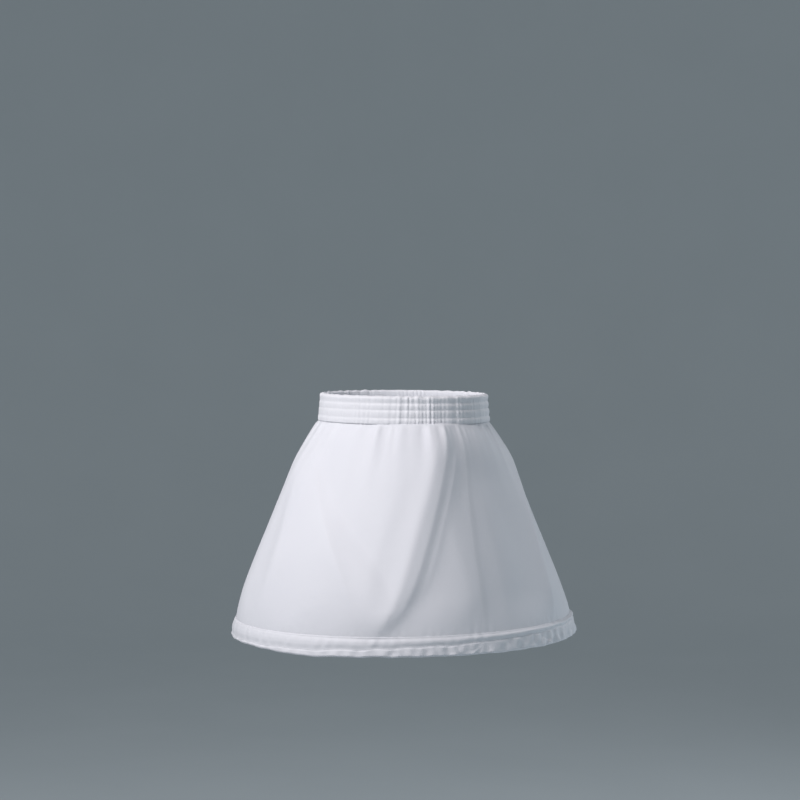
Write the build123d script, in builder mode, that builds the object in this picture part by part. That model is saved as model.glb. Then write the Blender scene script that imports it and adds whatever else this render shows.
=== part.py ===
from build123d import *

# Short hoop petticoat: a gathered bell skirt of three gores, hung from a stitched elastic
# waistband and held out at the hem by one springy hoop in a fabric casing.
#
# Millimetres. +Z is up, -Y is the wearer's front and +X the wearer's left. The origin is the
# centre of the waist opening, half way up the waistband.

import os
from math import cos, degrees, radians, sin, tan

# Whole garment
length = 350  # top of the waistband to the lowest edge of the hem
hem_diameter = 500  # across the lowest edge

# Waistband, measured outside
waist_width = 252  # left to right at the top edge
waist_depth = 210  # front to back at the top edge
band_height = 40
band_flare = 4  # how much further out the lower edge stands than the top one
band_edge_radius = 1.5  # of the cloth folded over the top edge

# Bell: how far it stands out from a straight cone, and how soon it swells below the waist
bell_bulge = 9
bell_shoulder = 10
bell_stations = (0, 0.05, 0.13, 0.26, 0.45, 0.65, 0.83, 1)  # shares of the way down

# Cloth
cloth = 0.8  # one layer with its folds and gathers
seam_allowance = 8  # turned in at the waist seam and at the hem seam
clearance = 0.3  # between a soft layer and what it encloses
elastic_thickness = 1.6

# Hem casing, measured along its slope
hem_band = 33
hem_slope = 12  # degrees from upright
hem_ease = 5  # between the turned-in seam and the hoop's pocket
pocket_corner = 1.2

# Hoop: one flat strip bent into a ring, its ends butted inside a joining sleeve
hoop_width = 6
hoop_thickness = 2
hoop_edge_radius = 0.8
hoop_gap = 1  # between the butted ends
joiner_length = 40
joiner_wall = 0.6
joiner_clearance = 0.2

# Seams between the gores, degrees round from +X: centre back, then one on each side of front
back_seam = 90
left_seam = -30
right_seam = 210

# Waistband: layers from the outside in, and heights
band_top_z = band_height / 2
waist_seam_z = -band_height / 2
band_thickness = 2 * cloth + elastic_thickness + 2 * clearance
tuck_slot = cloth + 2 * clearance
tuck_inset = (band_thickness - cloth) / 2
slot_inset = (band_thickness - tuck_slot) / 2
pocket_low_z = waist_seam_z + seam_allowance
pocket_top_z = band_top_z - cloth - band_edge_radius

# Hem: the hoop and its sleeve, the pocket round them, and the casing round that
joiner_thickness = hoop_thickness + 2 * (joiner_clearance + joiner_wall)
joiner_width = hoop_width + 2 * (joiner_clearance + joiner_wall)
pocket_thickness = joiner_thickness + 2 * clearance
pocket_height = joiner_width + 2 * clearance
hoop_drop = seam_allowance + hem_ease + pocket_height / 2
slope = radians(hem_slope)
hem_z = band_top_z - length
hem_radius = hem_diameter / 2
hem_top_z = hem_z + hem_band * cos(slope)
hem_top_radius = hem_radius - hem_band * sin(slope)
hoop_radius = hem_top_radius + hoop_drop * sin(slope)


def band_axes(z):
    """Outside half width and half depth of the waistband at height z."""
    spread = band_flare * (band_top_z - z) / band_height
    return waist_width / 2 + spread, waist_depth / 2 + spread


def bell_axes(share):
    """Outside half width and half depth of the bell, a share of the way down to the casing.

    The swell dies out at the rate that lets the bell meet the casing at the casing's slope.
    """
    drop = waist_seam_z - hem_top_z
    end = hem_top_radius + cloth / 2
    axes = []
    for band_axis in band_axes(waist_seam_z):
        start = band_axis - tuck_inset
        tail = (end - start - drop * tan(slope)) / bell_bulge
        swell = bell_bulge * (1 - (1 - share) ** bell_shoulder) * (1 - share**tail)
        axes.append(start + (end - start) * share + swell)
    return axes


def oval_ring(low, high, outer_inset, inner_inset):
    """A length of the waistband's oval, between two depths below its outside."""
    with BuildPart() as ring:
        for inset, mode in ((outer_inset, Mode.ADD), (inner_inset, Mode.SUBTRACT)):
            for z in (low, high):
                half_width, half_depth = band_axes(z)
                with BuildSketch(Plane.XY.offset(z)):
                    Ellipse(half_width - inset, half_depth - inset)
            loft(ruled=True, mode=mode)
    return ring.part


def across_casing(turn):
    """A drawing plane across the casing's top edge, turned round from +X by degrees.

    Its x runs outward through the cloth and its y up the slope.
    """
    return Plane(
        origin=Vector(hem_top_radius, 0, hem_top_z).rotate(Axis.Z, turn),
        x_dir=Vector(cos(slope), 0, sin(slope)).rotate(Axis.Z, turn),
        z_dir=Vector(0, -1, 0).rotate(Axis.Z, turn),
    )


# ---------------------------------------------------------------- waistband_casing
# One strip of cloth folded over the elastic, open below for the gores' top edge
with BuildPart() as waistband_casing:
    add(oval_ring(waist_seam_z, band_top_z, 0, band_thickness))
    fillet(waistband_casing.edges().group_by(Axis.Z)[-1], band_edge_radius)
    add(
        oval_ring(pocket_low_z, pocket_top_z, cloth, band_thickness - cloth),
        mode=Mode.SUBTRACT,
    )
    add(
        oval_ring(waist_seam_z, pocket_low_z, slot_inset, band_thickness - slot_inset),
        mode=Mode.SUBTRACT,
    )
waistband_casing.part.label = "waistband_casing"

# ---------------------------------------------------------------- waist_elastic
elastic_inset = cloth + clearance
with BuildPart() as waist_elastic:
    add(
        oval_ring(
            pocket_low_z + clearance,
            pocket_top_z - clearance,
            elastic_inset,
            elastic_inset + elastic_thickness,
        )
    )
waist_elastic.part.label = "waist_elastic"

# ---------------------------------------------------------------- gores
# The bell, whose last station lies inside the hem casing, and its edge inside the waistband
hem_tuck = seam_allowance - clearance
with BuildPart() as bell:
    for inset, mode in ((0, Mode.ADD), (cloth, Mode.SUBTRACT)):
        for share in bell_stations:
            half_width, half_depth = bell_axes(share)
            z = waist_seam_z + (hem_top_z - waist_seam_z) * share
            with BuildSketch(Plane.XY.offset(z)):
                Ellipse(half_width - inset, half_depth - inset)
        with BuildSketch(Plane.XY.offset(hem_top_z - hem_tuck * cos(slope))):
            Circle(hem_top_radius + cloth / 2 + hem_tuck * sin(slope) - inset)
        loft(mode=mode)
    add(
        oval_ring(
            waist_seam_z,
            waist_seam_z + seam_allowance - clearance,
            tuck_inset,
            tuck_inset + cloth,
        )
    )


def gore(first_seam, last_seam):
    """The stretch of the bell between two seams."""
    turns = [radians(first_seam + (last_seam - first_seam) * step / 2) for step in range(3)]
    with BuildPart() as piece:
        add(bell.part)
        with BuildSketch(Plane.XY.offset(hem_z)):
            with BuildLine():
                Polyline(
                    (0, 0),
                    *[(hem_diameter * cos(turn), hem_diameter * sin(turn)) for turn in turns],
                    close=True,
                )
            make_face()
        extrude(amount=length, mode=Mode.INTERSECT)
    return piece.part


with BuildPart() as front_gore:
    add(gore(right_seam - 360, left_seam))
front_gore.part.label = "front_gore"

with BuildPart() as left_back_gore:
    add(gore(left_seam, back_seam))
left_back_gore.part.label = "left_back_gore"

with BuildPart() as right_back_gore:
    add(gore(back_seam, right_seam))
right_back_gore.part.label = "right_back_gore"

# ---------------------------------------------------------------- hem_casing
# One strip of cloth folded up round the hoop: two legs hold the gores' lower edge, the
# pocket holds the hoop, and both layers lie flat together down to the bottom fold
with BuildPart() as hem_casing:
    with BuildSketch(across_casing(0)) as casing_section:
        with Locations((0, -(hoop_drop + hem_band) / 2)):
            Rectangle(2 * cloth, hem_band - hoop_drop)
        bottom = casing_section.vertices().sort_by(Axis.Y)[:2]
        fillet(bottom, cloth * 0.9)
        with Locations((0, -hoop_drop / 2)):
            Rectangle(tuck_slot + 2 * cloth, hoop_drop)
        with Locations((0, -hoop_drop)):
            RectangleRounded(
                pocket_thickness + 2 * cloth,
                pocket_height + 2 * cloth,
                pocket_corner + cloth,
            )
            RectangleRounded(
                pocket_thickness, pocket_height, pocket_corner, mode=Mode.SUBTRACT
            )
        with Locations((0, -hoop_drop / 2)):
            Rectangle(tuck_slot, hoop_drop, mode=Mode.SUBTRACT)
    revolve(axis=Axis.Z)
hem_casing.part.label = "hem_casing"

# ---------------------------------------------------------------- hem_hoop
gap_turn = degrees(hoop_gap / hoop_radius)
with BuildPart() as hem_hoop:
    with BuildSketch(across_casing(back_seam + gap_turn / 2)):
        with Locations((0, -hoop_drop)):
            RectangleRounded(hoop_thickness, hoop_width, hoop_edge_radius)
    revolve(axis=Axis.Z, revolution_arc=360 - gap_turn)
hem_hoop.part.label = "hem_hoop"

# ---------------------------------------------------------------- hoop_joiner
joiner_turn = degrees(joiner_length / hoop_radius)
joiner_bore_radius = hoop_edge_radius + joiner_clearance
with BuildPart() as hoop_joiner:
    with BuildSketch(across_casing(back_seam - joiner_turn / 2)):
        with Locations((0, -hoop_drop)):
            RectangleRounded(
                joiner_thickness, joiner_width, joiner_bore_radius + joiner_wall
            )
            RectangleRounded(
                hoop_thickness + 2 * joiner_clearance,
                hoop_width + 2 * joiner_clearance,
                joiner_bore_radius,
                mode=Mode.SUBTRACT,
            )
    revolve(axis=Axis.Z, revolution_arc=joiner_turn)
hoop_joiner.part.label = "hoop_joiner"

# ---------------------------------------------------------------- files
os.makedirs("parts", exist_ok=True)
export_step(waistband_casing.part, "parts/waistband_casing.step")
export_step(waist_elastic.part, "parts/waist_elastic.step")
export_step(front_gore.part, "parts/front_gore.step")
export_step(left_back_gore.part, "parts/left_back_gore.step")
export_step(right_back_gore.part, "parts/right_back_gore.step")
export_step(hem_casing.part, "parts/hem_casing.step")
export_step(hem_hoop.part, "parts/hem_hoop.step")
export_step(hoop_joiner.part, "parts/hoop_joiner.step")
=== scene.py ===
# %% [markdown]
# # A short hoop petticoat
#
# The petticoat is a bell of smooth white polyester. Three gores hang from a wide elastic
# waistband that is stitched through in rows, and one springy hoop in a cloth casing holds the
# hem out. This notebook dresses the plain construction model: every cloth piece is rebuilt as
# a sheet with its own gathers, folds, creases and stitches, in the place that its plain solid
# holds.
#
# The frame is loaded first. It gives each plain solid's box, and all the sizes below come from
# those boxes or from the garment's own few widths.

# %% Load the frame
import math
from collections import namedtuple

import bpy
import numpy as np
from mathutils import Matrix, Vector


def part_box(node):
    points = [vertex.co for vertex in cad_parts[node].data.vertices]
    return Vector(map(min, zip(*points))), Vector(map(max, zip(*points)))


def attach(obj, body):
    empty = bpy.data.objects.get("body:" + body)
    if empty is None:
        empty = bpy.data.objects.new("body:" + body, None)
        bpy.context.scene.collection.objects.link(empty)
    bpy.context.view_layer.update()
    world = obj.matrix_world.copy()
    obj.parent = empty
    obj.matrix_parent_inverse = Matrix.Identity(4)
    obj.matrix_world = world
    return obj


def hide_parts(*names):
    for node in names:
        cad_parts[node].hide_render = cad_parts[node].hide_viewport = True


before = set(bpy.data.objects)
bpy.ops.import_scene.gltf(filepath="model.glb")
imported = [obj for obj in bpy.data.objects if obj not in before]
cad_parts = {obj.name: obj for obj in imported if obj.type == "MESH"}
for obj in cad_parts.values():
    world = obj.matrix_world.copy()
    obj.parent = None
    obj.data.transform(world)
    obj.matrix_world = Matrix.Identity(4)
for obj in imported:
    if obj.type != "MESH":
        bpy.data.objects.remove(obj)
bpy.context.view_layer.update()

# %% [markdown]
# ## Sizes
#
# A garment is drawn from a few widths. The waistband's oval and the hem's circle come from the
# boxes of their solids. The bell between them swells out quickly below the waist and comes
# down to the hem at the casing's own slope, which is how cloth hangs over a hoop.

# %% Sizes of the garment, in metres
MM = 0.001

band_low, band_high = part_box("waistband_casing")
hem_low, hem_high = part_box("hem_casing")
band_top = band_high[2]
waist_seam = band_low[2]
band_height = band_top - waist_seam
band_half_width = band_high[0]
band_half_depth = band_high[1]
band_flare = 4 * MM
band_thickness = 3.8 * MM

cloth = 0.8 * MM
seam_allowance = 8 * MM
hem_slope = math.radians(12)
hem_band = 33 * MM
edge_reach = 0.65 * MM  # of the rounded bottom edge, out past the casing's middle
hem_radius = hem_high[0] - edge_reach
hem_bottom = hem_low[2]
hem_top = hem_bottom + hem_band * math.cos(hem_slope)
hem_top_radius = hem_radius - hem_band * math.sin(hem_slope)

# How far the bell stands out from a straight cone, and how soon it swells below the waist
bell_bulge = 7.5 * MM
bell_shoulder = 10
bell_drop = waist_seam - hem_top
tuck_depth = (band_thickness - cloth) / 2

# Thickness of each modelled sheet of cloth
gore_wall = 0.6 * MM
band_wall = 0.6 * MM
hem_wall = 0.4 * MM
allowance_wall = 0.5 * MM
print(f"waist to hem seam {bell_drop:.4f}, hem radius {hem_radius:.4f}")

# %% [markdown]
# Places round the garment are said in two ways. A turn is the angle about the upright axis,
# counted from the wearer's left. A bearing is the same angle counted from the side that faces
# the camera, growing to the right, in degrees: folds are easiest to place by it.

# %% Turns and bearings
camera_azimuth = 32
facing_turn = camera_azimuth - 90


def wrapped(degrees):
    """The same angle, from -180 to 180 degrees."""
    return (degrees + 180) % 360 - 180


def bearing(turn):
    """Degrees to the right of the side that faces the camera, from -180 to 180."""
    return wrapped(np.degrees(turn) - facing_turn)


def turn_at(degrees_right):
    """The turn, in radians, of a bearing."""
    return np.radians(degrees_right + facing_turn)


# %% [markdown]
# Cloth is soft, so its relief is put together from a few soft shapes: a step, a hump, a ridge
# with its own slope on each side, and uneven waves. They are plain functions of a distance, as
# a displacement would be, but every fold stays a named thing in its own place.

# %% Soft shapes
weakest_wave = 0.3


def smooth(value, low, high):
    """A step from 0 to 1 with soft ends."""
    share = np.clip((value - low) / (high - low), 0, 1)
    return share * share * (3 - 2 * share)


def hump(distance, half):
    """A soft hump of height 1, which is down to about a third at half."""
    return np.exp(-((distance / half) ** 2))


def ridge(distance, crest, left, right):
    """A ridge of height 1 with a rounded crest, which falls at its own rate on each side."""
    width = np.where(distance < 0, left, right)
    return np.exp(-(np.sqrt(distance**2 + crest**2) - crest) / width)


def ripple(turn, fewest, most, seed, lean=0.0):
    """Uneven waves round the garment, from fewest to most of them, about 1 high.

    lean slides each wave sideways by its own amount, so that rows at other heights differ.
    """
    rng = np.random.default_rng(seed)
    counts = np.arange(fewest, most + 1)
    heights = rng.uniform(weakest_wave, 1, counts.size)
    starts = rng.uniform(0, 2 * np.pi, counts.size)
    leans = rng.normal(0, 1, counts.size)
    total = np.zeros(np.broadcast(turn, lean).shape)
    for count, height, start, slide in zip(counts, heights, starts, leans):
        total = total + height * np.cos(count * turn + start + slide * lean)
    return total / math.sqrt((heights**2).sum() / 2)

# %% [markdown]
# ## The bell
#
# The bell's plain form is a formula: an oval at the waist that grows into a circle at the hem.
# The construction model's bell follows the same formula. This one swells a little less, because
# its folds stand out from it, so that the folded cloth lies about where the solid is.

# %% The bell's plain form
def bell_axes(share):
    """Half width and half depth of the bell, a share of the way down to the casing."""
    end = hem_top_radius + cloth / 2
    axes = []
    for band_axis in (band_half_width, band_half_depth):
        start = band_axis - tuck_depth
        tail = (end - start - bell_drop * math.tan(hem_slope)) / bell_bulge
        rise = 1 - (1 - np.clip(share, 0, 1)) ** bell_shoulder
        swell = bell_bulge * rise * (1 - np.clip(share, 0, None) ** tail)
        axes.append(start + (end - start) * share + swell - cloth / 2)
    return axes


def band_axes(z):
    """Outside half width and half depth of the waistband at height z."""
    spread = band_flare * (waist_seam - z) / band_height
    return band_half_width + spread, band_half_depth + spread


# %% [markdown]
# ## Seam lines
#
# Three gores make the bell, so three seams run down it. Each is a list of bearings, evenly
# spaced from the waist to the hem. The seam on the wearer's left leans a little, as a seam on
# a draped skirt does; the other two hang straight.

# %% Seam lines
SEAM_LEFT = (31.8, 30.3, 27.5, 26.9, 26.1)
SEAM_BACK = (148.0, 148.0)
SEAM_RIGHT = (-92.0, -92.0)


def along_path(path, share):
    """The value at a share of the way down of a curve through evenly spaced values."""
    stops = np.linspace(0, 1, len(path))
    return np.polyval(np.polyfit(stops, path, len(path) - 1), np.clip(share, 0, 1))


# %% [markdown]
# ## Folds and gathers
#
# A fold in hanging cloth is a crest with a sharp rounded edge that falls away more gently on
# one side than on the other. A simulation would drop folds where it likes, so here each one is
# placed: it runs down the bell along its own line of bearings. Valleys are folds with a
# negative height. Gathers are short folds that start in the waist seam and die out below it.

# %% Folds
# A path holds bearings, as a seam line does. The height, the widths to the left and right and
# the crest's radius are in millimetres. The reach is four shares of the way down: where the
# fold starts, is full, starts to fade and is gone.
Fold = namedtuple("Fold", "path height left right crest reach")

# The long fold that crosses from under the band to the middle of the hem: its sharp edge, the
# body of cloth behind it, and the lower edge beside it
LONG_FOLD = [
    Fold((20.5, 15.8, 9.0, 3.2, -7.5), 8.5, 60, 16, 4, (-0.15, 0.06, 0.76, 1.04)),
    Fold((15.5, 10.4, 4.0, -1, -9.5), 8.5, 22, 15, 8, (-0.2, 0.2, 0.88, 1.04)),
    Fold((30, 22.4, 14.5, 8, -3), 0.9, 5, 6, 2, (0.1, 0.2, 0.65, 0.85)),
]
# Round the side seam: the flatter cloth before it, the corner that the cloth turns at it, the
# soft ridge and the hollow behind it, and the fold beyond
SIDE_FOLDS = [
    Fold((37, 23, 19, 22.5, 16), 3.2, 34, 34, 8, (0.05, 0.3, 0.82, 1.03)),
    Fold(SEAM_LEFT, 3, 160, 15, 2.5, (-0.1, 0.12, 0.8, 1.04)),
    Fold((38, 38, 38, 38, 37), 1.2, 14, 12, 7, (0.2, 0.45, 0.85, 1.0)),
    Fold((44.6, 42, 50, 50, 45), -7, 75, 80, 13, (0.05, 0.3, 0.82, 1.03)),
    Fold((90, 79, 70, 65, 61), 7.5, 20, 30, 2.5, (0.0, 0.22, 0.82, 1.03)),
]
# To the left: the slanting crease, the hollow beside it, a dent under the band, and two swells
LEFT_FOLDS = [
    Fold((-72, -52, -35, -22, -15.5), 4.8, 85, 13, 3, (0.05, 0.22, 0.62, 1.0)),
    Fold((-58, -46, -24, -6, -12), -6, 20, 45, 12, (0.05, 0.3, 0.78, 1.03)),
    Fold((-30, -29.4, -29, -30, -30), -1.3, 16, 11, 4, (-0.1, 0.04, 0.25, 0.5)),
    Fold((-60, -66, -59, -57, -64), 6.5, 22, 70, 15, (0.1, 0.3, 0.6, 1.0)),
    Fold((-12, -3, -9, -12, -14), 2.6, 27, 25, 8, (0.1, 0.3, 0.62, 1.0)),
]
# On the far side: crests and hollows by turns
FAR_FOLDS = [
    Fold((120, 126, 132, 138, 142), 6, 60, 30, 5, (-0.2, 0.2, 0.78, 1.03)),
    Fold((176, 168, 163, 160, 158), -4, 40, 44, 12, (0.05, 0.35, 0.78, 1.03)),
    Fold((194, 199, 206, 214, 224), 7, 28, 70, 4.5, (-0.2, 0.2, 0.78, 1.03)),
    Fold((246, 242, 240, 238, 236), -3.5, 34, 40, 12, (0.05, 0.3, 0.78, 1.03)),
    Fold((276, 268, 262, 258, 254), 4.5, 40, 34, 6, (-0.1, 0.25, 0.78, 1.03)),
]
FOLDS = LONG_FOLD + SIDE_FOLDS + LEFT_FOLDS + FAR_FOLDS


def fold_lift(fold, degrees_right, share, radius):
    """How far one fold lifts the cloth, in metres."""
    across = wrapped(degrees_right - along_path(fold.path, share))
    distance = np.radians(across) * radius / MM
    start, full, fade, gone = fold.reach
    reach = smooth(share, start, full) * (1 - smooth(share, fade, gone))
    return fold.height * MM * ridge(distance, fold.crest, fold.left, fold.right) * reach


# %% Gathers under the band
# A bearing, a height and a half width in millimetres, and a reach as a share of the way down
GATHERS = [
    (-25, -1.1, 4.0, 0.34),
    (-20, 0.8, 5.0, 0.25),
    (-14.4, -1.2, 3.4, 0.20),
    (-9.6, -1.5, 2.8, 0.16),
    (-5, 0.6, 4.5, 0.18),
    (2, -0.6, 4.0, 0.12),
    (7.3, -2.4, 5.0, 0.14),
    (11.8, 1.8, 3.0, 0.09),
    (16, -0.8, 3.0, 0.10),
    (20.6, 1.9, 2.4, 0.10),
    (35, -0.8, 5.0, 0.15),
    (48, 0.6, 6.0, 0.2),
]
# The same round the sides and back, where no gather needs to be in one exact place
rng = np.random.default_rng(5)
gather_spacing = 7.5
crest_chance = 0.6
for middle in np.arange(64, 318, gather_spacing):
    side = 1 if rng.random() < crest_chance else -1
    height = side * rng.uniform(0.8, 1.9)
    half = rng.uniform(2.5, 6.0)
    place = wrapped(middle + rng.uniform(-3, 3))
    GATHERS.append((place, height, half, rng.uniform(0.1, 0.35)))
print(len(FOLDS), "folds and", len(GATHERS), "gathers")

gather_spread = 20  # millimetres that a gather's half width grows on the whole way down
gather_fade = 1.5


def gather_lift(gather, degrees_right, share, radius):
    """How far one gather lifts the cloth, in metres."""
    middle, height, half, reach = gather
    distance = np.radians(wrapped(degrees_right - middle)) * radius / MM
    below = np.clip(share, 0, None)
    fade = np.exp(-((below / reach) ** gather_fade)) * smooth(share, -0.01, 0.025)
    return height * MM * hump(distance, half + gather_spread * below) * fade


# %% The drape, with its uneven ripples
# Heights of the ripples, and the shares of the way over which they die out: fine and middling
# ones under the band, slack ones between, and the pull of the stitches along the hem
fine_height, fine_reach = 0.34 * MM, 0.055
middling_height, middling_reach = 0.42 * MM, 0.2
slack_height = 0.55 * MM
pull_height, pull_reach = 0.22 * MM, 0.018


def drape(turn, share):
    """How far the gathers, folds and ripples lift the cloth off the plain bell, in metres."""
    degrees_right = bearing(turn)
    width, depth = bell_axes(share)
    radius = (width + depth) / 2
    lift = np.zeros(np.broadcast(turn, share).shape)
    for fold in FOLDS:
        lift = lift + fold_lift(fold, degrees_right, share, radius)
    for gather in GATHERS:
        lift = lift + gather_lift(gather, degrees_right, share, radius)
    below = np.clip(share, 0, None)
    above = np.clip(1 - share, 0, None)
    fine = fine_height * ripple(turn, 36, 84, seed=11, lean=2.0 * below)
    middling = middling_height * ripple(turn, 15, 34, seed=12, lean=1.2 * below)
    small = fine * np.exp(-below / fine_reach) + middling * np.exp(-below / middling_reach)
    slack = slack_height * ripple(turn, 6, 17, seed=13, lean=1.5 * below)
    pull = pull_height * ripple(turn, 70, 150, seed=14) * np.exp(-above / pull_reach)
    lift = lift + small * smooth(share, -0.01, 0.03)
    lift = lift + slack * smooth(share, 0, 0.3) * (1 - smooth(share, 0.85, 1))
    return lift + pull * (1 - smooth(share, 0.99, 1.005))

# %% [markdown]
# ## The hem's lines
#
# The hem isn't quite level: the cloth rides up over the hoop on one side and hangs lower on
# the other. Four lines run round the casing, each given as its distance down the casing's
# slope: the top edge, the crest of the ridge that the hoop makes, the groove under that ridge,
# and the bottom fold. The loose cloth below the groove is the lip.

# %% Lines round the hem casing
# Where the top edge and the bottom fold lie, and how deep the lip between the groove and the
# fold is: each as it faces the camera, and how much it changes out to the right
top_middle, top_tilt = 5.3 * MM, -4.2 * MM
fold_middle, fold_tilt = 33.0 * MM, -2.3 * MM
lip_middle, lip_tilt = 12.8 * MM, 9.0 * MM
unevenness = 0.35 * MM
# The stretch where the bottom fold hangs lowest
sag_bearing, sag_half = -33, 15
sag_drop = 2.6 * MM
sag_lip = 1.2 * MM


def hem_lines(turn):
    """Distances down the casing of its top edge, its crest, its groove and its bottom fold."""
    right = np.sin(np.radians(bearing(turn)))
    sag = hump(bearing(turn) - sag_bearing, sag_half)
    top = top_middle + top_tilt * right
    uneven_fold = unevenness * ripple(turn, 18, 46, seed=21)
    bottom = fold_middle + fold_tilt * right + sag_drop * sag + uneven_fold
    uneven_groove = unevenness * ripple(turn, 9, 40, seed=22)
    groove = bottom - (lip_middle + lip_tilt * right + sag_lip * sag + uneven_groove)
    crest = (top + groove) / 2
    return top, crest, groove, bottom


def casing_point(turn, out, down):
    """A point of the casing: out through the cloth and down its slope."""
    radius = hem_top_radius + down * math.sin(hem_slope) + out * math.cos(hem_slope)
    z = hem_top - down * math.cos(hem_slope) + out * math.sin(hem_slope)
    return np.stack([radius * np.cos(turn), radius * np.sin(turn), z], axis=-1)


def bell_point(turn, down, out=0.0):
    """A point of the draped bell: down is the share of the way to the casing's top edge."""
    top, _, _, _ = hem_lines(turn)
    z_low = hem_top - top * math.cos(hem_slope)
    z = waist_seam + (z_low - waist_seam) * down
    share = (waist_seam - z) / bell_drop
    width, depth = bell_axes(share)
    lift = drape(turn, down) + out
    width, depth = width + lift, depth + lift
    return np.stack([width * np.cos(turn), depth * np.sin(turn), z], axis=-1)

# %% [markdown]
# ## From points to cloth
#
# Every cloth piece is a grid of points, rows down the cloth and columns round the body. The
# helper below turns such a grid into a mesh with faces that point outwards, and gives it a UV
# map in metres along the cloth, so that the weave keeps its size and follows the folds.

# %% Mesh helpers
def arc_lengths(points):
    """Distance along the first axis of a grid of points, averaged over the columns."""
    steps = np.linalg.norm(np.diff(points, axis=0), axis=-1).mean(axis=1)
    return np.concatenate([[0.0], np.cumsum(steps)])


def cloth_mesh(name, points, closed=False):
    """A mesh from points[row, column], with closed columns joined into a ring."""
    rows, columns = points.shape[:2]
    index = np.arange(rows * columns).reshape(rows, columns)
    along = points[rows // 2]
    if closed:
        index = np.column_stack([index, index[:, 0]])
        along = np.concatenate([along, along[:1]])
    steps = np.linalg.norm(np.diff(along, axis=0), axis=-1)
    u = np.concatenate([[0.0], np.cumsum(steps)])
    v = arc_lengths(points)
    corners = np.stack(
        [index[:-1, :-1], index[1:, :-1], index[1:, 1:], index[:-1, 1:]], axis=-1
    ).reshape(-1, 4)
    mesh = bpy.data.meshes.new(name)
    mesh.from_pydata(points.reshape(-1, 3), [], corners.tolist())
    grid_u, grid_v = np.meshgrid(u, v)
    uv = np.stack([grid_u, -grid_v], axis=-1)
    loops = np.stack([uv[:-1, :-1], uv[1:, :-1], uv[1:, 1:], uv[:-1, 1:]], axis=2)
    layer = mesh.uv_layers.new(name="cloth")
    layer.data.foreach_set("uv", loops.reshape(-1).astype(np.float32))
    mesh.shade_smooth()
    mesh.validate()
    return mesh


def add_object(name, mesh):
    """An object at the origin that holds a mesh."""
    piece = bpy.data.objects.new(name, mesh)
    bpy.context.scene.collection.objects.link(piece)
    return piece


def thicken(piece, thickness):
    """Gives a sheet its thickness, half of it on each side."""
    wall = piece.modifiers.new("thickness", "SOLIDIFY")
    wall.thickness = thickness
    wall.offset = 0
    return piece


# %% [markdown]
# ## Finishes
#
# Shader maths is written as plain expressions. A Field wraps a socket, so that an expression
# on Fields adds the Math nodes that work it out, and every other node comes from one method of
# the Finish that is being made.

# %% Shader helpers
class Field:
    """A value that varies over a surface."""

    def __init__(self, finish, socket):
        self.finish = finish
        self.socket = socket

    def math(self, operation, *others):
        """A Math node of this value and others."""
        inputs = dict(enumerate((self, *others)))
        return self.finish.node("ShaderNodeMath", {"operation": operation}, inputs)

    def __add__(self, other):
        return self.math("ADD", other)

    __radd__ = __add__

    def __mul__(self, other):
        return self.math("MULTIPLY", other)

    __rmul__ = __mul__

    def __sub__(self, other):
        return self.math("SUBTRACT", other)

    def __rsub__(self, other):
        return self.math("MULTIPLY_ADD", -1.0, other)

    def sine(self):
        return self.math("SINE")


class Finish:
    """A material in the making."""

    def __init__(self, name):
        self.material = bpy.data.materials.new(name)
        self.material.use_nodes = True
        self.tree = self.material.node_tree
        self.tree.nodes.clear()

    def node(self, kind, settings=None, inputs=None, output=0):
        """Adds a node: its settings first, then the values or links of its sockets."""
        made = self.tree.nodes.new(kind)
        for key, value in (settings or {}).items():
            setattr(made, key, value)
        for key, value in (inputs or {}).items():
            if isinstance(value, Field):
                self.tree.links.new(value.socket, made.inputs[key])
            else:
                made.inputs[key].default_value = value
        return Field(self, made.outputs[output]) if made.outputs else None

    def blend(self, factor, first, second):
        """A colour between two colours."""
        return self.node(
            "ShaderNodeMix", {"data_type": "RGBA"}, {0: factor, 6: first, 7: second}, 2
        )

    def place(self):
        """Where a point is on the object."""
        return self.node("ShaderNodeTexCoord", output="Object")

    def on_cloth(self):
        """Distances along and down the cloth, in metres, as two values."""
        uv = self.node("ShaderNodeUVMap", {"uv_map": "cloth"})
        split = self.node("ShaderNodeSeparateXYZ", inputs={0: uv})
        return split, Field(self, split.socket.node.outputs[1])

    def noise(self, scale, detail=2.0, roughness=0.5):
        """Soft noise, about 0.5, with features of 1 / scale metres."""
        given = {"Vector": self.place(), "Scale": scale, "Detail": detail, "Roughness": roughness}
        return self.node("ShaderNodeTexNoise", inputs=given)

    def bump(self, height, strength, distance, under=None):
        """A normal tilted by a height in metres times distance."""
        inputs = {"Height": height, "Strength": strength, "Distance": distance}
        if under is not None:
            inputs["Normal"] = under
        return self.node("ShaderNodeBump", inputs=inputs)

    def finish(self, shader):
        """Joins the shader to the output and gives the material."""
        self.node("ShaderNodeOutputMaterial", inputs={"Surface": shader})
        return self.material


# %% [markdown]
# The skirt's cloth is smooth polyester: a close plain weave, a faint sheen, and light that
# glows through a little, which is why the shaded side is never dark. Real white cloth isn't
# one white: it is a shade warmer or cooler from place to place, and it has faint slubs and
# tiny creases that only show where light grazes it.

# %% Cloth finish
THREAD_PITCH = 0.55 * MM
WHITE, DEEP_WHITE = (0.855, 0.857, 0.895), (0.81, 0.815, 0.86)
BAND_WHITE, DEEP_BAND_WHITE = (0.865, 0.865, 0.9), (0.82, 0.82, 0.86)


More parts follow.
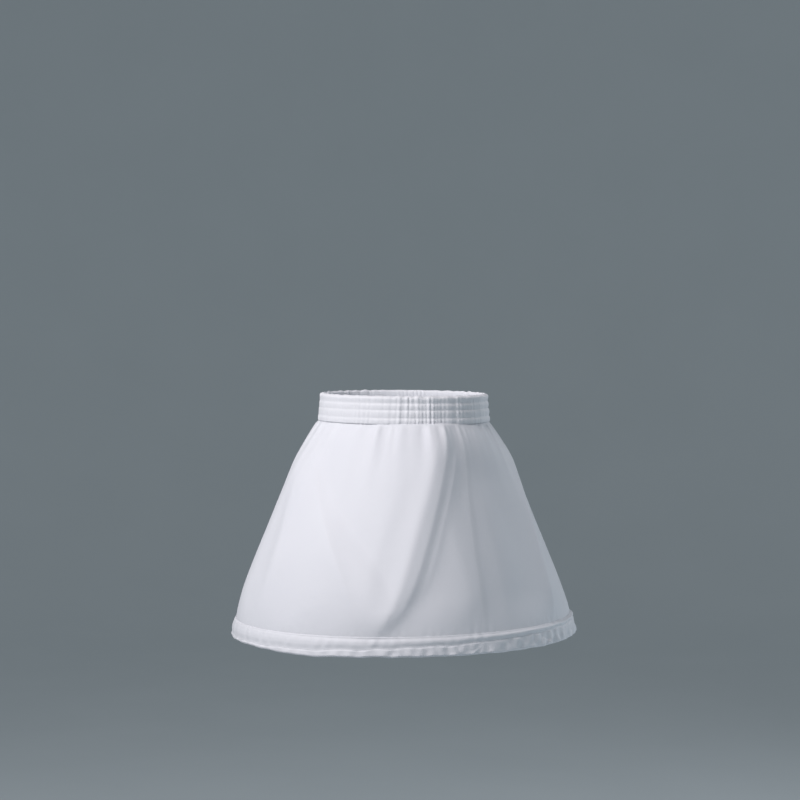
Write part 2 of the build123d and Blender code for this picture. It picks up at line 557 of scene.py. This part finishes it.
def woven(name, colour, deep, roughness, glow, crease):
    """White woven cloth with a weave, slubs, fine creases and some light through it."""
    made = Finish(name)
    across, down = made.on_cloth()
    turns_per_metre = 2 * math.pi / THREAD_PITCH
    weave = (across * turns_per_metre).sine() * (down * turns_per_metre).sine()
    slubs = made.noise(420.0, 1.0)
    creases = made.noise(70.0, 4.0, 0.6)
    tone = made.noise(9.0, 3.0)
    tint = made.blend(tone, (*deep, 1), (*colour, 1))
    fine = made.bump(weave + slubs * 1.5, 0.25, 0.06 * MM)
    normal = made.bump(creases, crease, 0.9 * MM, fine)
    surface = {
        "Base Color": tint,
        "Roughness": 0.12 * slubs + (roughness - 0.06),
        "Normal": normal,
        "Sheen Weight": 0.12,
        "Sheen Roughness": 0.45,
        "Specular IOR Level": 0.4,
    }
    opaque = made.node("ShaderNodeBsdfPrincipled", inputs=surface)
    through = made.node("ShaderNodeBsdfTranslucent", inputs={"Color": (*colour, 1), "Normal": normal})
    both = made.node("ShaderNodeMixShader", inputs={0: glow, 1: opaque, 2: through})
    return made.finish(both)


skirt_cloth = woven("skirt_polyester", WHITE, DEEP_WHITE, roughness=0.58, glow=0.14, crease=0.3)
band_cloth = woven("shirred_polyester", BAND_WHITE, DEEP_BAND_WHITE, 0.56, 0.08, 0.4)
hem_cloth = woven("casing_polyester", WHITE, DEEP_WHITE, 0.56, 0.12, 0.45)
print("cloth finishes:", skirt_cloth.name, band_cloth.name, hem_cloth.name)


# %% [markdown]
# The pieces that the cloth encloses have plainer finishes: ribbed elastic, a satin plastic
# strip, and a milky joining sleeve. Sewing thread is a soft twisted white.

# %% Elastic, plastic and thread finishes
rib_pitch = 1.2 * MM
waist_radius = 0.12  # roughly that of the oval, which sets the ribs' spacing


def ribbed_elastic():
    """Woven elastic with upright ribs round the waist, with painted shade in the valleys between the
    ribs.
    """
    made = Finish("woven_elastic")
    split = made.node("ShaderNodeSeparateXYZ", inputs={0: made.place()})
    x, y, z = (Field(made, split.socket.node.outputs[axis]) for axis in range(3))
    ribs = (y.math("ARCTAN2", x) * (waist_radius * 2 * math.pi / rib_pitch)).sine()
    rows = (z * (2 * math.pi / rib_pitch)).sine()
    # Painted shade: the colour is darker in the valleys between the ribs, where the bump is lowest
    tint = made.blend(ribs * 0.5 + 0.5, (0.72, 0.72, 0.7, 1), (0.84, 0.84, 0.82, 1))
    normal = made.bump(ribs + rows * 0.4, 0.6, 0.25 * MM)
    surface = {"Base Color": tint, "Roughness": rows * 0.05 + 0.7, "Normal": normal}
    return made.finish(made.node("ShaderNodeBsdfPrincipled", inputs=surface))


def plastic(name, light, dark, roughness, scratch):
    """Smooth plastic with a faint drawn grain."""
    made = Finish(name)
    grain = made.noise(scratch, 3.0)
    surface = {
        "Base Color": made.blend(grain, (*dark, 1), (*light, 1)),
        "Roughness": grain * 0.2 + (roughness - 0.1),
        "Normal": made.bump(grain, 0.15, 0.1 * MM),
        "Specular IOR Level": 0.5,
    }
    return made.finish(made.node("ShaderNodeBsdfPrincipled", inputs=surface))


def sewing_thread():
    """Soft white thread with its twist."""
    made = Finish("sewing_thread")
    twist = made.noise(2600.0, 1.0)
    surface = {
        "Base Color": made.blend(twist, (0.7, 0.71, 0.74, 1), (0.82, 0.83, 0.85, 1)),
        "Roughness": twist * 0.2 + 0.45,
        "Normal": made.bump(twist, 0.4, 0.05 * MM),
        "Sheen Weight": 0.2,
    }
    return made.finish(made.node("ShaderNodeBsdfPrincipled", inputs=surface))


elastic_finish = ribbed_elastic()
boning_finish = plastic("hoop_boning", (0.88, 0.88, 0.86), (0.8, 0.8, 0.78), 0.42, 300.0)
joiner_finish = plastic("joining_sleeve", (0.82, 0.85, 0.87), (0.76, 0.79, 0.82), 0.25, 120.0)
thread_finish = sewing_thread()


def refinish(node, material):
    """Gives a construction node another material."""
    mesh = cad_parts[node].data
    if not mesh.materials:
        mesh.materials.append(material)
    for place in range(len(mesh.materials)):
        mesh.materials[place] = material


refinish("waist_elastic", elastic_finish)
refinish("hem_hoop", boning_finish)
refinish("hoop_joiner", joiner_finish)


# %% [markdown]
# ## The gores
#
# The gores' edges dip into the seams between them, where the cloth turns inside, with a narrow
# crease and a soft pad of turned-in cloth beside it. Each gore reaches up into the waistband
# and down into the hem casing, so that nothing gapes at those seams. A gore could be one plane
# that is bent with modifiers, but a grid of worked-out points keeps every fold where it belongs.

# %% Relief along a seam
seam_groove = 0.08 * MM
seam_groove_half = 1.5 * MM
seam_pad = 0.16 * MM
pad_middle = 6 * MM
pad_half = 4 * MM


def seam_relief(distance, reach):
    """The crease at a seam and the pad of turned-in cloth beside it."""
    crease = -seam_groove * hump(distance, seam_groove_half)
    pad = seam_pad * hump(distance - pad_middle, pad_half)
    return (crease + pad) * reach


# %% Points of one gore
# Shares of the seam allowance that a gore reaches into the band and into the casing
tuck_up, tuck_down = 0.8, 0.45
crowding = 0.075  # of the rows towards the band and the hem
edge_column = 0.0005  # a column this close to a seam keeps the turn into the cut edge narrow


def gore_rows(count):
    """Shares down the bell with the tucked-in rows at both ends, as a column."""
    even = np.linspace(0, 1, count)
    crowded = even - crowding * np.sin(2 * np.pi * even)
    above = -seam_allowance * tuck_up / bell_drop
    below = 1 + seam_allowance * tuck_down / bell_drop
    return np.concatenate([[above, above / 2], crowded, [(1 + below) / 2, below]])[:, None]


def gore_points(first, last, columns, rows):
    """The draped cloth between two seams, tucked into the band above and the casing below."""
    down = gore_rows(rows)
    inner_columns = np.linspace(edge_column, 1 - edge_column, columns - 2)
    across = np.concatenate([[0], inner_columns, [1]])[None, :]
    start, end = along_path(first, down), along_path(last, down)
    end = np.where(end < start, end + 360, end)
    degrees_right = start + (end - start) * across
    turn = turn_at(degrees_right)
    reach = smooth(down, -0.02, 0.02) * (1 - smooth(down, 0.985, 1.0))
    width, depth = bell_axes(np.clip(down, 0, 1))
    radius = (width + depth) / 2
    relief = seam_relief(np.radians(degrees_right - start) * radius, reach)
    relief = relief + seam_relief(-np.radians(end - degrees_right) * radius, reach)
    points = bell_point(turn, down, relief)
    tucked = down[:, 0] < 0
    z = waist_seam - down[tucked] * bell_drop
    width, depth = band_axes(z)
    width, depth = width - band_thickness / 2, depth - band_thickness / 2
    level = np.broadcast_to(z, turn[tucked].shape)
    points[tucked] = np.stack(
        [width * np.cos(turn[tucked]), depth * np.sin(turn[tucked]), level], axis=-1
    )
    return points


# %% Build the gores
GORES = {
    "front_gore": (SEAM_RIGHT, SEAM_LEFT),
    "left_back_gore": (SEAM_LEFT, SEAM_BACK),
    "right_back_gore": (SEAM_BACK, SEAM_RIGHT),
}
gores = {}
for node, (first, last) in GORES.items():
    name = "skirt_" + node
    mesh = cloth_mesh(name, gore_points(first, last, columns=250, rows=140))
    mesh.materials.append(skirt_cloth)
    gores[node] = thicken(add_object(name, mesh), gore_wall)
    print(name, len(mesh.polygons), "faces")

# %% [markdown]
# ## The waistband
#
# The band is one strip folded over wide elastic and stitched through in rows while the elastic
# is stretched. When it relaxes, the cloth between the rows puffs out and puckers into fine
# upright ridges. The strip is modelled as it is cut: up the inside, over the top and down the
# outside, with the puckers strongest in the middle of each channel.

# %% Faces of the waistband
# Heights of the stitch rows, counted down from the top edge
STITCH_ROWS = [11.0 * MM, 20.5 * MM, 32.0 * MM]
channel_puff = 1.7 * MM
puff_lean, puff_round = 0.6, 0.7  # a channel is fullest above its middle, and bluntly round
even_puff, least_relief = 0.75, 0.4  # where the band is pulled smooth, on the left
pucker_height = 0.3 * MM
broad_height = 0.2 * MM
edge_waver = 0.35 * MM
roll_puff, roll_middle, roll_half = 0.5 * MM, 4 * MM, 3 * MM
closing = 2.2 * MM  # the depth over which the two faces close up to the top fold
# The band turns a soft corner where the long fold starts
corner_bearing = 13
corner_height = 3 * MM
corner_round = 4 * MM
corner_left, corner_right = 40 * MM, 26 * MM


def channels(depth_down):
    """How full the band is at a distance below its top edge: 0 at a stitch row, 1 between."""
    edges = [0.0, *STITCH_ROWS, band_height + 1 * MM]
    fullness = np.zeros_like(depth_down)
    for above, below in zip(edges, edges[1:]):
        inside = (depth_down >= above) & (depth_down < below)
        share = np.clip((depth_down - above) / (below - above), 0, 1)
        rounded = np.sin(np.pi * share**puff_lean) ** puff_round
        fullness = np.where(inside, rounded, fullness)
    return fullness


def pucker_strength(turn):
    """How strongly the cloth is puckered: most in the middle of the front, and at the back."""
    degrees_right = bearing(turn)
    pulled = smooth(degrees_right, -50, -14) * (1 - smooth(degrees_right, 4, 26))
    pulled = pulled + smooth(np.abs(degrees_right), 95, 130)
    return (0.4 + 0.6 * pulled) * (1 + 0.25 * ripple(turn, 3, 9, seed=33))


def band_face(turn, depth_down, side):
    """A point of the band's outer face (side 1) or inner face (side -1)."""
    degrees_right = bearing(turn)
    right = smooth(degrees_right, -40, 10) * (1 - smooth(degrees_right, 150, 180))
    relief = least_relief + (1 - least_relief) * right
    fullness = even_puff + (channels(depth_down) - even_puff) * relief
    wander = depth_down / band_height
    ridges = ripple(turn, 78, 150, seed=31, lean=0.9 * wander * side)
    puckers = pucker_height * pucker_strength(turn) * (ridges - 0.3 * np.abs(ridges))
    broad = ripple(turn, 26, 60, seed=32, lean=0.6 * wander)
    puff = channel_puff * fullness + puckers * (0.35 + 0.65 * fullness) + broad_height * broad
    if side > 0:
        across = np.radians(degrees_right - corner_bearing) * band_half_width
        puff = puff + corner_height * ridge(across, corner_round, corner_left, corner_right)
    puff = puff + roll_puff * hump(depth_down - roll_middle, roll_half)
    close = smooth(depth_down, 0, closing)
    z = band_top - depth_down + edge_waver * broad * (1 - smooth(depth_down, 0, 10 * MM))
    width, depth = band_axes(z)
    wall = band_thickness / 2 - cloth / 2
    out = -band_thickness / 2 + side * (wall + (puff if side > 0 else 0.5 * puff)) * close
    return np.stack([(width + out) * np.cos(turn), (depth + out) * np.sin(turn), z], axis=-1)

# %% Build the waistband
fold_rows = [0.15, 0.5, 1.0, 1.6]  # millimetres down, close together where the cloth turns over


def band_rows_down(first, count):
    """Depths of a face's rows as a column: the turned fold, then even steps down."""
    return np.concatenate([fold_rows, np.linspace(first, band_height / MM, count)])[:, None] * MM


def band_points(columns):
    """The whole strip: up the inside, over the top fold, and down the outside."""
    turn = np.linspace(0, 2 * np.pi, columns, endpoint=False)[None, :]
    up = band_face(turn, band_rows_down(3, 9)[::-1], -1)
    over = band_face(turn, np.zeros((1, 1)), 1)
    down = band_face(turn, band_rows_down(2.4, 35), 1)
    return np.concatenate([up, over, down])


band_mesh = cloth_mesh("waistband", band_points(columns=900), closed=True)
band_mesh.materials.append(band_cloth)
waistband = thicken(add_object("waistband", band_mesh), band_wall)
print("waistband", len(band_mesh.polygons), "faces")

# %% [markdown]
# ## The hem casing
#
# The casing is a strip folded up round the hoop and stitched to the skirt along its top edge.
# The hoop pushes it out into a ridge. Under the hoop the two layers fall together into a
# groove, and below that they hang as a loose, crumpled lip down to the bottom fold.

# %% Casing cross-section
# Room for what the casing holds, on each side of its middle: the skirt's edge at the top, the
# hoop with its sleeve at the back below that, and the loose lip at the bottom
leg_room = 0.54 * MM
hoop_room, sleeve_room = 1.7 * MM, 0.65 * MM
lip_room = 1.5 * MM
# Distances down the casing: the room for the hoop is made by the first, and closes from the second
room_by, hoop_low = 13.2 * MM, 21 * MM
# The sleeve lies at the centre back: its turn in degrees, and how far round its room is full
# and has died out
sleeve_turn = 90
sleeve_full, sleeve_gone = 20 * MM, 32 * MM
# How far the ridge over the hoop stands out, and the small waves along it
ridge_height, ridge_tilt = 3.2 * MM, 0.6 * MM
least_ridge = 0.4 * MM
wave_height = 0.12 * MM
# The lip: how far it stands out, its creases, and how far it sways as it hangs
lip_height, lip_lean = 0.85 * MM, 0.4 * MM
crease_height, crease_lean = 0.3 * MM, 0.25 * MM
least_lip = 0.1 * MM
slant_sway, broad_sway = 0.75 * MM, 0.6 * MM
sway_from = 17 * MM  # the sway starts no higher up than this
# Placed crumples of the lip: bearing at the groove, slant on the way down, and height and half
# width in millimetres
CRUMPLES = [(48, 8, 1.8, 4.5), (62, -9, 1.6, 3.5), (38, 5, -1.4, 4), (72, 6, -1.5, 4), (27, -5, 1.2, 3)]


def lip_sway(turn, down):
    """How far the loose lip sways out of its plain slope."""
    right = np.sin(np.radians(bearing(turn)))
    _, _, groove, bottom = hem_lines(turn)
    loose = smooth(down, np.maximum(groove, sway_from), bottom - 2 * MM)
    crumpling = (0.35 + 0.75 * smooth(right, -0.5, 0.6)) * loose
    slanting = slant_sway * ripple(turn, 40, 95, seed=43, lean=4.5 * down / hem_band)
    broad = broad_sway * ripple(turn, 18, 44, seed=42, lean=1.5 * down / hem_band)
    sway = (slanting + broad) * crumpling
    hang = np.clip((down - groove) / (bottom - groove), 0, 1)
    for middle, slant, height, half in CRUMPLES:
        across = np.radians(bearing(turn) - middle - slant * hang) * hem_radius / MM
        sway = sway + height * MM * hump(across, half) * smooth(hang, 0.3, 0.8)
    return sway


def lip_fullness(turn, down):
    """How far the lip's outer layer puffs out below the groove."""
    right = np.sin(np.radians(bearing(turn)))
    groove = hem_lines(turn)[2]
    creases = ripple(turn, 40, 110, seed=41, lean=3 * down / hem_band)
    lip = lip_height + lip_lean * right + (crease_height + crease_lean * right) * creases
    lip = np.clip(lip, least_lip, None)
    return lip * smooth(down, groove + 0.6 * MM, groove + 2.6 * MM)


# %% Layers of the casing
def casing_layers(turn, down):
    """How far the casing's outer and inner layers stand from its plain slope."""
    right = np.sin(np.radians(bearing(turn)))
    top, crest, groove, bottom = hem_lines(turn)
    waves = wave_height * ripple(turn, 50, 120, seed=44)
    rise = smooth(down, top + 1.5 * MM, crest)
    drop = 1 - smooth(down, crest + 0.2 * (groove - crest), groove)
    hoop_ridge = np.where(down < crest, rise, drop)
    height = ridge_height + ridge_tilt * right + 2 * waves
    beside = np.abs(wrapped(np.degrees(turn) - sleeve_turn))
    beside = beside * math.radians(1) * hem_radius
    room = hoop_room + sleeve_room * (1 - smooth(beside, sleeve_full, sleeve_gone))
    base = leg_room + (room - leg_room) * smooth(down, top, np.minimum(crest, room_by))
    base = base + (lip_room - room) * smooth(down, hoop_low, bottom - 2 * MM)
    fullness = np.clip(height - room, least_ridge, None) * hoop_ridge
    lip = lip_fullness(turn, down)
    ends = np.sqrt(np.clip((bottom - down) / (2.0 * MM), 0, 1))
    follow = drape(turn, 1 + (down - top) / bell_drop) * (1 - smooth(down, top, 13.5 * MM))
    middle = lip_sway(turn, down) + waves * (1 - rise) + follow
    outer = middle + (base + fullness + lip) * ends
    inner = middle - (base + 0.25 * fullness + 0.4 * lip) * ends
    return outer, inner

# %% Build the hem casing
row_crowding = 1.35  # of the rows towards the bottom fold


def casing_points(columns, rows):
    """The whole strip: down the outside, round the bottom fold and up the inside."""
    turn = np.linspace(0, 2 * np.pi, columns, endpoint=False)[None, :]
    top, _, _, bottom = hem_lines(turn)
    layers = []
    for count, side in ((rows, 0), (rows // 2, 1)):
        even = np.linspace(0, 1, count)[:, None]
        down = top + (bottom - top) * (1 - (1 - even) ** row_crowding)
        layers.append(casing_point(turn, casing_layers(turn, down)[side], down))
    outside, inside = layers
    return np.concatenate([outside, inside[::-1][1:]])


hem_mesh = cloth_mesh("hem", casing_points(columns=900, rows=36), closed=True)
hem_mesh.materials.append(hem_cloth)
hem = thicken(add_object("hem", hem_mesh), hem_wall)
print("hem", len(hem_mesh.polygons), "faces")

# %% [markdown]
# ## Seam allowances
#
# Inside the bell each of the three seams has its turned-in edges pressed to one side. They
# make a narrow strip that follows the cloth and lifts a little at its free edge, where an
# overlocked thread keeps the cloth from fraying.

# %% Strips inside the seams
allowance_width = 10 * MM
allowance_gap = 0.75 * MM  # from the middle of the bell's cloth to the middle of the strip
edge_lift, lift_waver = 0.7 * MM, 0.5
waver_turns = 37  # radians of waver on the way down


def allowance_points(seam, rows=90, columns=7):
    """A strip from the seam to its free edge, just inside the bell."""
    down = np.linspace(0.012, 0.995, rows)[:, None]
    across = np.linspace(0.02, 1, columns)[None, :]
    width, depth = bell_axes(down)
    radius = (width + depth) / 2
    turn = turn_at(along_path(seam, down) + np.degrees(allowance_width * across / radius))
    waver = 1 + lift_waver * np.sin(down * waver_turns + seam[0])
    return bell_point(turn, down, -allowance_gap - edge_lift * across**2 * waver)


strips = []
for place, seam in enumerate((SEAM_LEFT, SEAM_BACK, SEAM_RIGHT)):
    mesh = cloth_mesh(f"allowance_{place}", allowance_points(seam))
    mesh.materials.append(skirt_cloth)
    strips.append(thicken(add_object(f"seam_allowance_{place}", mesh), allowance_wall))
print(len(strips), "seam allowances")

# %% [markdown]
# ## Stitches
#
# Machine stitches are one small shape repeated, so a Geometry Nodes tree lays them. It takes a
# line, divides it evenly, and puts a short rounded stitch at each point, turned along the
# line with its back to the cloth. A slanted stitch makes the overlock. The line carries the
# direction away from the cloth in an attribute called lay.

# %% Stitch tree
def stitch_tree():
    """Lays stitches along the edges of a line mesh."""
    tree = bpy.data.node_groups.new("stitches", "GeometryNodeTree")
    tree.interface.new_socket("Line", in_out="INPUT", socket_type="NodeSocketGeometry")
    for name in ("Spacing", "Length", "Thread", "Slant"):
        tree.interface.new_socket(name, in_out="INPUT", socket_type="NodeSocketFloat")
    tree.interface.new_socket("Stitches", in_out="OUTPUT", socket_type="NodeSocketGeometry")

    def node(kind, settings=None, inputs=None):
        made = tree.nodes.new(kind)
        for key, value in (settings or {}).items():
            setattr(made, key, value)
        for key, value in (inputs or {}).items():
            if isinstance(value, bpy.types.NodeSocket):
                tree.links.new(value, made.inputs[key])
            else:
                made.inputs[key].default_value = value
        return made

    given = node("NodeGroupInput").outputs
    curve = node("GeometryNodeMeshToCurve", inputs={"Mesh": given["Line"]})
    evenly = node(
        "GeometryNodeResampleCurve",
        {"mode": "LENGTH"},
        {"Curve": curve.outputs[0], "Length": given["Spacing"]},
    )
    tangent = node("GeometryNodeInputTangent")
    lay = node("GeometryNodeInputNamedAttribute", {"data_type": "FLOAT_VECTOR"}, {"Name": "lay"})
    along = node(
        "FunctionNodeAlignRotationToVector", {"axis": "X"}, {"Vector": tangent.outputs[0]}
    )
    upright = node(
        "FunctionNodeAlignRotationToVector",
        {"axis": "Z", "pivot_axis": "X"},
        {"Rotation": along.outputs[0], "Vector": lay.outputs[0]},
    )
    slant = node(
        "FunctionNodeAxisAngleToRotation", inputs={"Axis": (0, 0, 1), "Angle": given["Slant"]}
    )
    turned = node(
        "FunctionNodeRotateRotation",
        {"rotation_space": "LOCAL"},
        {"Rotation": upright.outputs[0], "Rotate By": slant.outputs[0]},
    )
    shape = node(
        "GeometryNodeMeshUVSphere", inputs={"Segments": 6, "Rings": 4, "Radius": 0.5}
    )
    size = node(
        "ShaderNodeCombineXYZ",
        inputs={"X": given["Length"], "Y": given["Thread"], "Z": given["Thread"]},
    )
    laid = node(
        "GeometryNodeInstanceOnPoints",
        inputs={
            "Points": evenly.outputs[0],
            "Instance": shape.outputs[0],
            "Rotation": turned.outputs[0],
            "Scale": size.outputs[0],
        },
    )
    real = node("GeometryNodeRealizeInstances", inputs={"Geometry": laid.outputs[0]})
    round_off = node("GeometryNodeSetShadeSmooth", inputs={"Geometry": real.outputs[0]})
    coloured = node(
        "GeometryNodeSetMaterial",
        inputs={"Geometry": round_off.outputs[0], "Material": thread_finish},
    )
    node("NodeGroupOutput", inputs={"Stitches": coloured.outputs[0]})
    return tree


stitches = stitch_tree()


# %% Lay a set of stitches
thread_lift = 0.38 * MM  # of a stitch's middle above the middle of the cloth


def stitched(name, lines, spacing, length, thread=0.3 * MM, slant=0.0):
    """One object with a stitch every spacing along each line of (points, lay, closed)."""
    vertices, edges, lays = [], [], []
    for points, lay, closed in lines:
        first = len(vertices)
        vertices += points.tolist()
        lays.append(lay)
        count = len(points)
        edges += [(first + k, first + k + 1) for k in range(count - 1)]
        if closed:
            edges.append((first + count - 1, first))
    mesh = bpy.data.meshes.new(name + "_lines")
    mesh.from_pydata(vertices, edges, [])
    stored = mesh.attributes.new("lay", "FLOAT_VECTOR", "POINT")
    stored.data.foreach_set("vector", np.concatenate(lays).astype(np.float32).reshape(-1))
    piece = add_object(name, mesh)
    modifier = piece.modifiers.new("stitches", "NODES")
    modifier.node_group = stitches
    wanted = {"Spacing": spacing, "Length": length, "Thread": thread, "Slant": slant}
    for socket in stitches.interface.items_tree:
        if socket.name in wanted:
            modifier[socket.identifier] = wanted[socket.name]
    evaluated = piece.evaluated_get(bpy.context.evaluated_depsgraph_get())
    baked = bpy.data.meshes.new_from_object(evaluated)
    piece.modifiers.clear()
    piece.data = baked
    print(name, len(baked.polygons), "faces")
    return piece


def outward(turn):
    """The level direction away from the middle."""
    return np.stack([np.cos(turn), np.sin(turn), np.zeros_like(turn)], axis=-1)


def row_on_band(depth_down):
    """A closed line of stitches round the waistband, at a distance below its top edge."""
    turn = np.linspace(0, 2 * np.pi, 1800, endpoint=False)
    points = band_face(turn, np.full_like(turn, depth_down), 1)
    return points + thread_lift * outward(turn), outward(turn), True


def row_on_hem(line, below):
    """A closed line of stitches round the casing, below one of the hem's lines."""
    turn = np.linspace(0, 2 * np.pi, 1600, endpoint=False)
    down = hem_lines(turn)[line] + below
    outer, _ = casing_layers(turn, down)
    return casing_point(turn, outer + thread_lift, down), outward(turn), True


def free_edge(seam):
    """The free edge of a seam allowance, inside the bell."""
    points = allowance_points(seam, rows=400)[:, -1]
    turn = np.arctan2(points[:, 1], points[:, 0])
    return points, -outward(turn), False


# %% [markdown]
# The band has a row in each of its channels' valleys and one along its lower edge. The hem has
# one row that holds the casing's top edge and one in the groove, and each seam allowance is
# overlocked along its free edge.

# %% Rows of stitches
TOP_EDGE, GROOVE = 0, 2  # places among the hem's lines
lowest_row = band_height - 1.2 * MM
band_rows = stitched(
    "waistband_stitches",
    [row_on_band(depth) for depth in (*STITCH_ROWS, lowest_row)],
    spacing=2.1 * MM,
    length=1.6 * MM,
)
hem_rows = stitched(
    "hem_stitches",
    [row_on_hem(TOP_EDGE, 2.0 * MM), row_on_hem(GROOVE, 0.3 * MM)],
    spacing=2.8 * MM,
    length=2.2 * MM,
)
overlock = stitched(
    "overlocked_edges",
    [free_edge(seam) for seam in (SEAM_LEFT, SEAM_BACK, SEAM_RIGHT)],
    spacing=1.4 * MM,
    length=3.4 * MM,
    slant=math.radians(72),
)

# %% [markdown]
# ## Put each piece on the body
#
# Each cloth piece rides on the garment's one body and stands in for its plain solid, which is hidden.
# The seam allowances and the stitches ride on the same body. The flat size of a gathered piece is
# longer than the piece looks.

for node, piece in gores.items():
    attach(piece, "root")
    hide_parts(node)

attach(waistband, "root")
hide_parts("waistband_casing")

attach(hem, "root")
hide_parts("hem_casing")

for strip in strips:
    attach(strip, "root")

for rows in (band_rows, hem_rows, overlock):
    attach(rows, "root")

# %% [markdown]
# ## Studio
#
# A round studio of pale matte card stands about the garment, its floor turning up into its
# wall, so that every view has the same quiet background. A backdrop behind the garment would
# do for one view, but not for a look at the back.

# %% Studio floor and wall
floor_z = hem_bottom - 0.75
studio_radius = 6.5
cove_radius = 1.6
wall_height = 5.0
flat_radius = 2.0


def studio_profile():
    """Radius and height of the studio's floor, cove and wall."""
    cove = [
        (
            studio_radius - cove_radius * (1 - math.sin(bend)),
            floor_z + cove_radius * (1 - math.cos(bend)),
        )
        for bend in np.linspace(0, np.pi / 2, 16)
    ]
    wall_top = (studio_radius, floor_z + wall_height)
    return np.array([(0.0, floor_z), (flat_radius, floor_z), *cove, wall_top])


def studio_card():
    """Pale matte card, with a little light of its own that stands for the room's."""
    made = Finish("studio_card")
    grain = made.noise(3.0, 3.0)
    surface = {
        "Base Color": made.blend(grain, (0.36, 0.40, 0.42, 1), (0.40, 0.44, 0.46, 1)),
        "Roughness": grain * 0.1 + 0.85,
        "Emission Color": (0.66, 0.78, 0.84, 1),
        "Emission Strength": 0.105,
    }
    return made.finish(made.node("ShaderNodeBsdfPrincipled", inputs=surface))


ring = np.linspace(0, 2 * np.pi, 96, endpoint=False)
radii, heights = studio_profile()[::-1, :, None].transpose(1, 0, 2)
level = np.broadcast_to(heights, (len(heights), ring.size))
studio_points = np.stack([radii * np.cos(ring), radii * np.sin(ring), level], axis=-1)
studio_mesh = cloth_mesh("studio", studio_points, closed=True)
studio_mesh.flip_normals()
studio_mesh.materials.append(studio_card())
studio = add_object("studio", studio_mesh)
print("studio", len(studio_mesh.polygons), "faces")


# %% [markdown]
# ## Lights and camera
#
# One large soft light stands to the front left and shapes every fold. A small cool one fills
# the right from below, and two weaker ones stand behind, to draw a bright line down each side.
# White cloth needs this difference between its sides, or the folds wouldn't show.

# %% Lights
def round_garment(degrees_right, elevation, distance, height):
    """A point round the garment, by bearing and elevation."""
    turn = float(turn_at(degrees_right))
    level = distance * math.cos(math.radians(elevation))
    z = height + distance * math.sin(math.radians(elevation))
    return Vector((level * math.cos(turn), level * math.sin(turn), z))


def soft_light(name, degrees_right, elevation, distance, size, power, colour):
    """A square soft box that faces the middle of the skirt."""
    middle = Vector((0, 0, (band_top + hem_bottom) / 2))
    data = bpy.data.lights.new(name, "AREA")
    data.shape = "SQUARE"
    data.size = size
    data.energy = power
    data.color = colour
    lamp = bpy.data.objects.new(name, data)
    lamp.location = round_garment(degrees_right, elevation, distance, middle.z)
    lamp.rotation_euler = (middle - lamp.location).to_track_quat("-Z", "Y").to_euler()
    bpy.context.scene.collection.objects.link(lamp)


# Name, bearing, elevation, distance, size, power in watts, and colour
LIGHTS = [
    ("key", -47, 41, 2.0, 1.0, 36, (1.0, 0.975, 0.995)),
    ("fill", 70, -18, 1.25, 0.8, 2.3, (0.79, 0.92, 1.0)),
    ("right_rim", 128, 18, 2.8, 1.0, 19, (0.92, 0.95, 1.0)),
    ("left_rim", -125, 18, 2.8, 1.0, 7, (0.95, 0.97, 1.0)),
]
for light in LIGHTS:
    soft_light(*light)
print(len(LIGHTS), "lights")

world = bpy.data.worlds.new("studio_air")
world.use_nodes = True
air = world.node_tree.nodes["Background"]
air.inputs["Color"].default_value = (0.93, 0.94, 1.0, 1)
air.inputs["Strength"].default_value = 0.2
bpy.context.scene.world = world
bpy.context.scene.view_settings.view_transform = "Standard"

# %% Camera
# It stands a little above the waistband and looks slightly down
camera_distance = 3.392
camera_height = band_top + 0.142
camera_pitch = math.radians(2.567)
camera_yaw = math.radians(0.086)
lens_data = bpy.data.cameras.new("camera")
lens_data.sensor_width = 36
lens_data.lens = 104.4
camera = bpy.data.objects.new("camera", lens_data)
azimuth = math.radians(camera_azimuth)
camera.location = (
    camera_distance * math.sin(azimuth),
    -camera_distance * math.cos(azimuth),
    camera_height,
)
camera.rotation_euler = (math.pi / 2 - camera_pitch, 0, azimuth + camera_yaw)
bpy.context.scene.collection.objects.link(camera)
bpy.context.scene.camera = camera
print("camera at", [round(c, 3) for c in camera.location])
